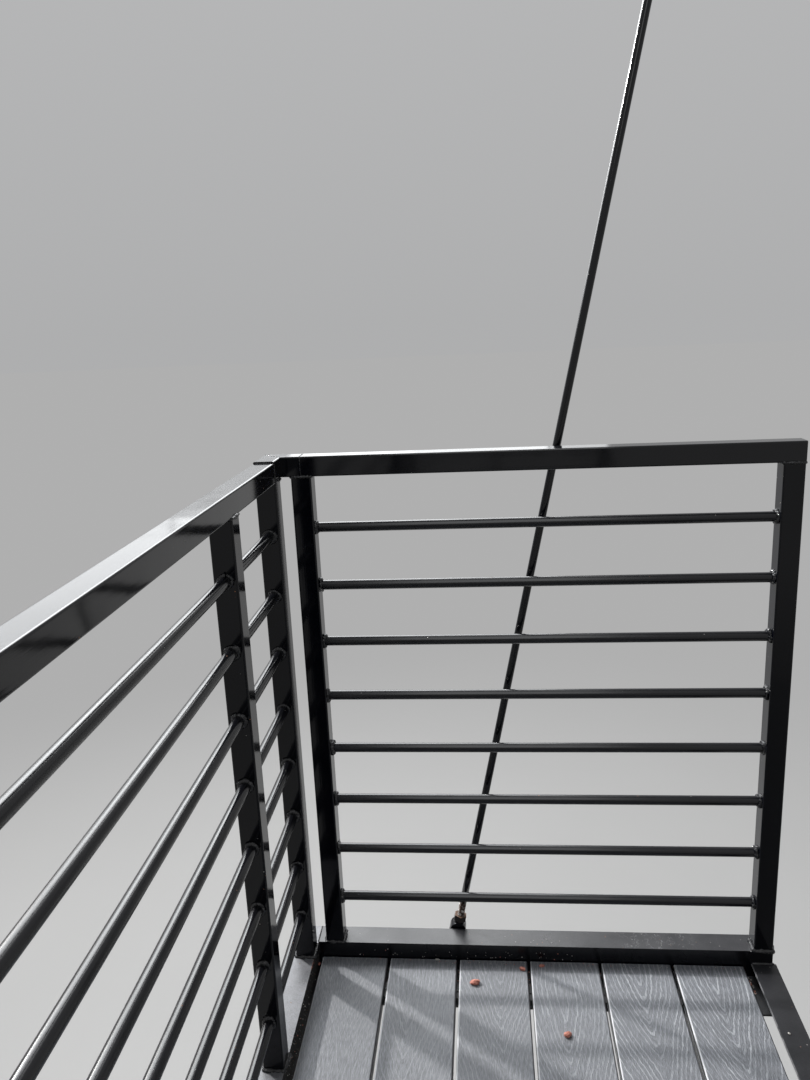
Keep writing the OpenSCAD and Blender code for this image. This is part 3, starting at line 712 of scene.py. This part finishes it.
def weld_bars(welds, bars_node, axis):
    low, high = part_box(bars_node)
    across = 0 if axis == 1 else 1
    radius = (high[across] - low[across]) / 2
    middle = [(a + b) / 2 for a, b in zip(low, high)]
    for k in range(bar_count):
        middle[2] = low[2] + radius + k * (high[2] - low[2] - 2 * radius) / (bar_count - 1)
        for end_at, inward in ((low[axis], 1), (high[axis], -1)):
            middle[axis] = end_at
            direction = Vector((0, 0, 0))
            direction[axis] = inward
            welds.ring(Vector(middle), direction, radius + bar_root_gap, bar_fillet)


def weld_round_tube(welds, post, z, size):
    """One closed bead round a post, along its flat sides and rounded corners."""
    low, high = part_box(post)
    path = []
    corners = ((high[0], high[1], 0), (low[0], high[1], 90), (low[0], low[1], 180), (high[0], low[1], 270))
    for x, y, start in corners:
        middle = Vector((x - math.copysign(tube_round, x - (low[0] + high[0]) / 2),
                         y - math.copysign(tube_round, y - (low[1] + high[1]) / 2), z))
        for turn in (0, 45, 90):
            angle = math.radians(start + turn)
            path.append(middle + Vector((math.cos(angle), math.sin(angle), 0)) * tube_round)
    dense = []
    for i, spot in enumerate(path):
        following = path[(i + 1) % len(path)]
        steps = max(1, round((following - spot).length / weld_step))
        dense += [spot + (following - spot) * (k / steps) for k in range(steps)]
    welds.bead(dense, size, closed=True)


for end, side in ends:
    panel_welds = WeldMesh()
    weld_bars(panel_welds, f"{end}_bars", 1)
    weld_bars(panel_welds, f"{end}_short_bars", 0)
    for post in ("wall_post", "outer_post", "corner_post", "middle_post"):
        low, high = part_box(f"{end}_{post}")
        weld_round_tube(panel_welds, f"{end}_{post}", low[2], foot_fillet)
        weld_round_tube(panel_welds, f"{end}_{post}", high[2], top_fillet)
    panel_welds.build(f"{end}_guard_welds", weld_coat)
long_bay_welds = WeldMesh()
weld_bars(long_bay_welds, "long_bars", 0)
long_bay_welds.build("long_bay_welds", weld_coat)


# The corner returns: short elbows of the same tube, mitred and welded between the end rail and the long
# side's rail once both panels stood. The seams were ground nearly flush and show as thin raised lines.
seam_size = 0.0011
mitre_seam = 0.8 * seam_size
butt_seam = 0.0016
ground_lumps = 0.15
butt_lumps = 0.2
seam_inset = 0.6 * tube_round
side_low, side_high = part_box("side_top_rail")
for end, side in ends:
    low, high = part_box(f"{end}_corner_return")
    inner_x, outer_x = x_faces(f"{end}_top_rail")
    tube = abs(outer_x - inner_x)
    rail_end_x = side * side_high[0]
    seams = WeldMesh()
    for x in (inner_x, outer_x):
        seams.line((x, high[1], low[2] + seam_inset), (x, high[1], high[2] - seam_inset), seam_size,
                   ground_lumps)
    from_x = inner_x + side * seam_inset
    to_x = outer_x - side * seam_inset
    from_y = low[1] + seam_inset
    to_y = low[1] + tube - seam_inset
    for z in (low[2], high[2]):
        seams.line((from_x, high[1], z), (to_x, high[1], z), seam_size, ground_lumps)
        seams.line((from_x, to_y, z), (to_x, from_y, z), mitre_seam, ground_lumps)
    for y in (low[1], low[1] + tube):
        seams.line((rail_end_x, y, side_low[2] + seam_inset), (rail_end_x, y, side_high[2] - seam_inset),
                   seam_size, butt_lumps)
    seams.line((rail_end_x, from_y, side_high[2]), (rail_end_x, to_y, side_high[2]), butt_seam, butt_lumps)
    seams.build(f"{end}_return_seams", weld_coat)


# The tie rods: round bar threaded at both ends, the threads and jam nuts left bare and rusting. The shank,
# the clevises, the lugs and the wall plates are sprayed black, and split pins hold the clevis pins.
rod_coat = new_material("rod_coat", coat_group, {
    "Dust": 0.05, "Gloss Loss": 0.13, "Ripple": 0.2, "Pits": 0.06, "Grit": 0.10, "Seed": 31.0}, IOR=1.45)
dress(["clevis", "lug", "plate"], rod_coat)

bare_group, bare_in, bare_out = new_group(
    "bare_steel",
    [("Rust", "NodeSocketFloat", 0.3), ("Steel", "NodeSocketColor", (0.62, 0.60, 0.57, 1)),
     ("Rust Color", "NodeSocketColor", (0.26, 0.15, 0.10, 1)),
     ("Painted Sides", "NodeSocketFloat", 0.0), ("Seed", "NodeSocketFloat", 0.0)],
    (*surface_outputs, ("Metallic", "NodeSocketFloat")))
bare_place = seeded_place(bare_group, bare_in["Seed"])
bare_cloud = noise(bare_group, bare_place, 160.0, 4.0, 0.65)
rust_reach = calc(bare_group, "SUBTRACT", 0.72, calc(bare_group, "MULTIPLY", bare_in["Rust"], 0.40))
rust_mask = remap(bare_group, calc(bare_group, "SUBTRACT", bare_cloud, rust_reach), -0.05, 0.07)
rust_colour = mixed_colour(bare_group, noise(bare_group, bare_place, 420.0, 3.0), (0.035, 0.018, 0.012, 1),
                           bare_in["Rust Color"])
bare_facing = split_axes(bare_group, "ShaderNodeNewGeometry", "Normal")
painted_mask = calc(bare_group, "MULTIPLY", bare_in["Painted Sides"],
                    remap(bare_group, calc(bare_group, "ABSOLUTE", bare_facing["Z"]), 0.45, 0.30))
bare_or_rust = mixed_colour(bare_group, rust_mask, bare_in["Steel"], rust_colour)
bare_colour = mixed_colour(bare_group, painted_mask, bare_or_rust, (0.0035, 0.003, 0.004, 1))
bare_rough = calc(bare_group, "ADD", remap(bare_group, bare_cloud, 0.3, 0.7, 0.22, 0.34),
                  calc(bare_group, "MULTIPLY", rust_mask, 0.45))
covered = calc(bare_group, "MAXIMUM", rust_mask, painted_mask)
bare_group.links.new(calc(bare_group, "SUBTRACT", 1.0, covered), bare_out["Metallic"])
finish_group(bare_group, bare_out, bare_colour, bare_rough, bare_cloud, strength=0.5, distance=0.0006)
thread_steel = new_material("thread_steel", bare_group, {
    "Rust": 0.72, "Rust Color": (0.075, 0.040, 0.032, 1), "Seed": 3.0})
pin_steel = new_material("pin_steel", bare_group, {"Rust": 0.50, "Steel": (0.50, 0.47, 0.42, 1), "Seed": 7.0})
nut_steel = new_material("nut_steel", bare_group, {
    "Rust": 0.85, "Steel": (0.45, 0.40, 0.34, 1), "Painted Sides": 0.95, "Seed": 5.0})
dress(["nuts"], nut_steel)
dress(["pins"], pin_steel)

thread_pitch = 0.0023
thread_length = 0.063
thread_depth = 0.0011
thread_relief = 0.0001
thread_sides = 28
rows_per_turn = 8
shank_rows = 40


def thread_dip(reach, angle):
    turn = (reach / thread_pitch - angle / (2 * math.pi)) % 1.0
    return thread_relief + thread_depth * abs(2 * turn - 1)


def sweep_rod(foot, along, rows, rod_radius, threaded):
    side = along.orthogonal().normalized()
    lift = along.cross(side)
    verts = []
    faces = []
    for reach in rows:
        for k in range(thread_sides):
            angle = 2 * math.pi * k / thread_sides
            radius = rod_radius - thread_dip(reach, angle) if threaded else rod_radius
            verts.append(foot + along * reach + (side * math.cos(angle) + lift * math.sin(angle)) * radius)
    for row in range(len(rows) - 1):
        for k in range(thread_sides):
            following = (k + 1) % thread_sides
            faces.append((row * thread_sides + k, row * thread_sides + following,
                          (row + 1) * thread_sides + following, (row + 1) * thread_sides + k))
    faces.append(tuple(range(thread_sides))[::-1])
    last = (len(rows) - 1) * thread_sides
    faces.append(tuple(range(last, last + thread_sides)))
    return verts, faces


for end, side in ends:
    rim = sorted((v.co.copy() for v in cad[f"{end}_tie_rod"].data.vertices), key=lambda point: point.z)
    half = len(rim) // 2
    rod_foot = sum(rim[:half], Vector()) / half
    rod_head = sum(rim[half:], Vector()) / (len(rim) - half)
    rod_radius = (rim[0] - rod_foot).length
    rod_length = (rod_head - rod_foot).length
    along = (rod_head - rod_foot).normalized()
    shank_run = rod_length - 2 * thread_length
    rows = [thread_length + i * shank_run / shank_rows for i in range(shank_rows + 1)]
    shank_shape = sweep_rod(rod_foot, along, rows, rod_radius, threaded=False)
    shank = fit_piece(add_mesh_object(f"{end}_rod_shank", *shank_shape), rod_coat)
    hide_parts(f"{end}_tie_rod")
    thread_rows = int(thread_length / thread_pitch * rows_per_turn)
    for place, start in (("lower", 0.0), ("upper", rod_length - thread_length)):
        rows = [start + i * thread_length / thread_rows for i in range(thread_rows + 1)]
        thread_shape = sweep_rod(rod_foot, along, rows, rod_radius, threaded=True)
        fit_piece(add_mesh_object(f"{end}_{place}_thread", *thread_shape), thread_steel)

pin_end_stand = 0.0055
upper_pin_out = 0.060
lug_radius = 0.017
wire_radius = 0.0011
loop_radius = 0.0026
loop_rise = 0.0120
loop_steps = 8
loop_start = math.radians(-50)
loop_turn = math.radians(280)
split_leg = ((0.007, -0.0135), (0.0035, -0.0125), (0.0014, -0.0100), (0.0012, 0.0), (0.0012, 0.0085))
wires = WeldMesh()
for end, side in ends:
    plain_end_x = x_faces(f"{end}_pins")[0]
    x = plain_end_x + side * pin_end_stand / 2
    lug_low, lug_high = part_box(f"{end}_clevis_lug")
    plate_low, plate_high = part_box(f"{end}_wall_plate")
    pin_middles = (((lug_low[1] + lug_high[1]) / 2, lug_high[2] - lug_radius),
                   (-upper_pin_out, (plate_low[2] + plate_high[2]) / 2))
    for y, z in pin_middles:
        path = [Vector((x, y + out, z + up)) for out, up in split_leg]
        for step in range(loop_steps + 1):
            angle = loop_start + loop_turn * step / loop_steps
            path.append(Vector((x, y + loop_radius * math.cos(angle),
                                z + loop_rise + loop_radius * math.sin(angle))))
        path += [Vector((x, y - out, z + up)) for out, up in split_leg[::-1]]
        wires.sweep(path, [wire_radius] * len(path), closed=False)
wires.build("split_pins", pin_steel)

lug_half_thickness = 0.005
plate_thickness = 0.012
lug_fillet = 0.0036
gusset_fillet = 0.8 * lug_fillet
web_weld_top = 0.004
gusset_weld_top = -0.016
for end, side in ends:
    lug_welds = WeldMesh()
    plate_low, plate_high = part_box(f"{end}_wall_plate")
    rod_x = (plate_low[0] + plate_high[0]) / 2
    pin_z = (plate_low[2] + plate_high[2]) / 2
    for x in (rod_x - lug_half_thickness, rod_x + lug_half_thickness):
        lug_welds.line((x, -plate_thickness, pin_z - lug_radius),
                       (x, -plate_thickness, pin_z + lug_radius), lug_fillet)
    for z in (pin_z - lug_radius, pin_z + lug_radius):
        lug_welds.line((rod_x - lug_half_thickness, -plate_thickness, z),
                       (rod_x + lug_half_thickness, -plate_thickness, z), lug_fillet)
    lug_low, lug_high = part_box(f"{end}_clevis_lug")
    web_x = x_faces(f"{end}_clevis_lug")[0]
    lug_y = (lug_low[1] + lug_high[1]) / 2
    for y in (lug_y - lug_half_thickness, lug_y + lug_half_thickness):
        lug_welds.line((web_x, y, lug_low[2]), (web_x, y, web_weld_top), lug_fillet)
        lug_welds.line((rod_x - side * lug_half_thickness, y, lug_low[2]),
                       (rod_x - side * lug_half_thickness, y, gusset_weld_top), gusset_fillet)
    lug_welds.build(f"{end}_lug_welds", weld_coat)


# Brick crumbs, grit and mortar: chips fallen from above, from two centimetres across on the boards down to
# grit along the channels' feet and on the ledges in the gaps. They lie loose on what carries them, apart from
# the specks that rain has splashed on the channels' webs.
crumb_group, crumb_in, crumb_out = new_group(
    "brick_crumb",
    [("Seed", "NodeSocketFloat", 0.0), ("Dark", "NodeSocketColor", (0.38, 0.11, 0.08, 1)),
     ("Light", "NodeSocketColor", (0.78, 0.36, 0.28, 1))])
crumb_place = seeded_place(crumb_group, crumb_in["Seed"])
crumb_cloud = noise(crumb_group, crumb_place, 220.0, 4.0, 0.7)
crumb_tone = remap(crumb_group, crumb_cloud, 0.35, 0.65)
crumb_colour = mixed_colour(crumb_group, crumb_tone, crumb_in["Dark"], crumb_in["Light"])
crumb_rough = remap(crumb_group, crumb_cloud, 0.3, 0.7, 0.75, 0.95)
finish_group(crumb_group, crumb_out, crumb_colour, crumb_rough, crumb_cloud, strength=0.7, distance=0.001)
brick_face = new_material("brick_crumb", crumb_group, {"Seed": 2.0})
mortar_face = new_material("mortar_crumb", crumb_group, {
    "Seed": 6.0, "Dark": (0.36, 0.34, 0.31, 1), "Light": (0.82, 0.80, 0.76, 1)})


flat_foot = -0.7
crumb_rise = 0.65
large_crumb = 0.004


def scatter_crumbs(name, crumbs, material):
    """Each crumb is its place on what carries it, its half length, its half width and its turn."""
    shape = bmesh.new()
    for x, y, z, half_length, half_width, turn in crumbs:
        lift = crumb_rise * min(half_length, half_width)
        made = bmesh.ops.create_icosphere(
            shape, subdivisions=2 if half_length > large_crumb else 1, radius=1.0)
        for vert in made["verts"]:
            vert.co *= random.uniform(0.76, 1.10)
            vert.co = Vector((vert.co.x * half_length, vert.co.y * half_width,
                              (max(vert.co.z, flat_foot) - flat_foot) * lift))
        bmesh.ops.transform(shape, verts=made["verts"],
                            matrix=Matrix.Translation((x, y, z)) @ Matrix.Rotation(turn, 4, "Z"))
    mesh = bpy.data.meshes.new(name)
    shape.to_mesh(mesh)
    shape.free()
    fit_piece(add_object(name, mesh), material)


deck_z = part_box("deck_board_1")[1][2]
scatter_crumbs("brick_crumbs", [
    (-1.150, -0.6095, deck_z, 0.0070, 0.0110, 0.25), (-1.0234, -0.4362, deck_z, 0.0070, 0.0082, 0.4),
    (-1.1923, -0.5125, deck_z, 0.0070, 0.0050, 0.9), (-1.2026, -0.4731, deck_z, 0.0042, 0.0072, 0.2),
    (-1.1990, -0.9393, -0.0050, 0.0050, 0.0027, 0.0)],
    brick_face)
scatter_crumbs("mortar_crumbs", [
    (-1.039, -0.033, angle_high[2], 0.0035, 0.0022, 0.7), (-1.2145, -0.6895, deck_z, 0.0026, 0.0060, 0.0),
    (0.31, -0.55, deck_z, 0.0030, 0.0024, 0.4), (0.86, -0.27, deck_z, 0.0036, 0.0030, 1.4)],
    mortar_face)


def drop_grit(heap, count, x_range, y_range, z, sizes):
    for _ in range(count):
        size = random.uniform(*sizes)
        heap.append((random.uniform(*x_range), random.uniform(*y_range), z, size,
                     size * random.uniform(0.6, 1.0), random.uniform(0, math.pi)))


def speck_place(given):
    return random.uniform(*given) if isinstance(given, tuple) else given


def splash_grit(heap, count, x, y, z, sizes):
    """Specks on an upright face. Each of x, y and z is a number or the range that it is drawn from."""
    for _ in range(count):
        size = random.uniform(*sizes)
        heap.append((speck_place(x), speck_place(y), speck_place(z), size, size, random.uniform(0, math.pi)))


brick_grit = []
pale_grit = []
speck_stand = 0.0002
foot_strip = (0.001, 0.011)
board_low, board_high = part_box("deck_board_1")
last_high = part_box("deck_board_6")[1]
outer_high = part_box("outer_channel")[1]
outer_web_y = outer_high[1] + speck_stand
for end, side in ends:
    ledge_low, ledge_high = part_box(f"{end}_deck_ledge")
    board_end_x = side * board_high[0]
    end_web_x = x_faces(f"{end}_end_channel")[0] - side * speck_stand
    foot_run = sorted(board_end_x - side * inset for inset in foot_strip)
    drop_grit(pale_grit, 46, foot_run, (board_low[1], last_high[1]), deck_z, (0.0005, 0.0013))
    drop_grit(brick_grit, 30, foot_run, (board_low[1], last_high[1]), deck_z, (0.0005, 0.0014))
    ledge_run = sorted(((ledge_low[0] + ledge_high[0]) / 2, board_end_x))
    for number in range(1, 6):
        gap = (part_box(f"deck_board_{number}")[1][1] + 0.001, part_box(f"deck_board_{number + 1}")[0][1] - 0.001)
        drop_grit(pale_grit, 8, ledge_run, gap, ledge_high[2], (0.0006, 0.0016))
        drop_grit(brick_grit, 7, ledge_run, gap, ledge_high[2], (0.0006, 0.0016))
    for heap, count in ((pale_grit, 40), (brick_grit, 6)):
        splash_grit(heap, count, end_web_x, (-0.86, -0.40), (0.001, 0.020), (0.0006, 0.0013))
    for heap, count in ((pale_grit, 60), (brick_grit, 26)):
        splash_grit(heap, count, (side * 0.45, side * 1.165), outer_web_y, (-0.014, 0.031), (0.0006, 0.0014))
    corner_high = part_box(f"{end}_corner_post")[1]
    post_inner_x, post_outer_x = x_faces(f"{end}_corner_post")
    foot_patch = sorted((post_outer_x - side * 0.012, post_inner_x - side * 0.035))
    drop_grit(brick_grit, 34, foot_patch, (corner_high[1] + 0.001, outer_high[1] - 0.0005), outer_high[2],
              (0.0004, 0.0008))
    wall_gap = (last_high[1] + 0.002, angle_low[1] - 0.002)
    drop_grit(pale_grit, 26, ledge_run, wall_gap, ledge_high[2], (0.0008, 0.0026))
    drop_grit(brick_grit, 22, ledge_run, wall_gap, ledge_high[2], (0.0008, 0.0026))
scatter_crumbs("brick_grit", brick_grit, brick_face)
scatter_crumbs("mortar_grit", pale_grit, mortar_face)
